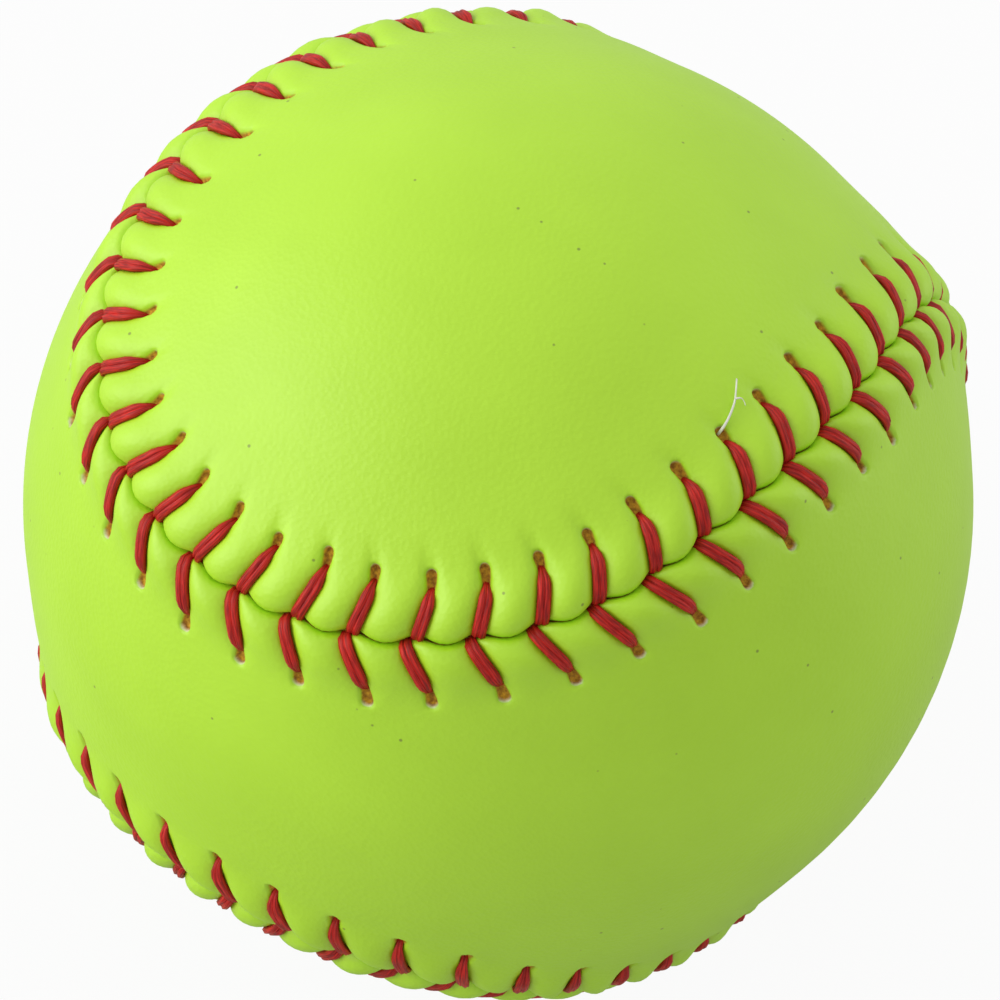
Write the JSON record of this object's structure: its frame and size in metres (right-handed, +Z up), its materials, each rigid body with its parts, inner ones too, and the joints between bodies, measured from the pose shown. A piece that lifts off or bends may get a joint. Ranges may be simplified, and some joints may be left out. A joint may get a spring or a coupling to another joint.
{
  "type": "softball",
  "caption": "Round leather softball: a moulded core in two figure-eight cover panels laced together with a raised chevron-stitched seam.",
  "frame": {"origin": "centre of the ball", "axes": "+Z up through panel A's upper lobe, +X through a lobe of panel B, +Y through panel A's waist"},
  "size_m": [0.0948, 0.0948, 0.0948],
  "materials": {
    "core": "moulded polyurethane, matt",
    "cement": "dried rubber cement",
    "cover_leather": "optic yellow leather, fine grain, satin",
    "waxed_thread": "crimson waxed thread, low sheen"
  },
  "bodies": {
    "root": {"core": "core", "cement_film": "cement", "cover_panel_a": "cover_leather", "cover_panel_b": "cover_leather", "lacing_thread_a": "waxed_thread", "lacing_thread_b": "waxed_thread"}
  },
  "joints": []
}
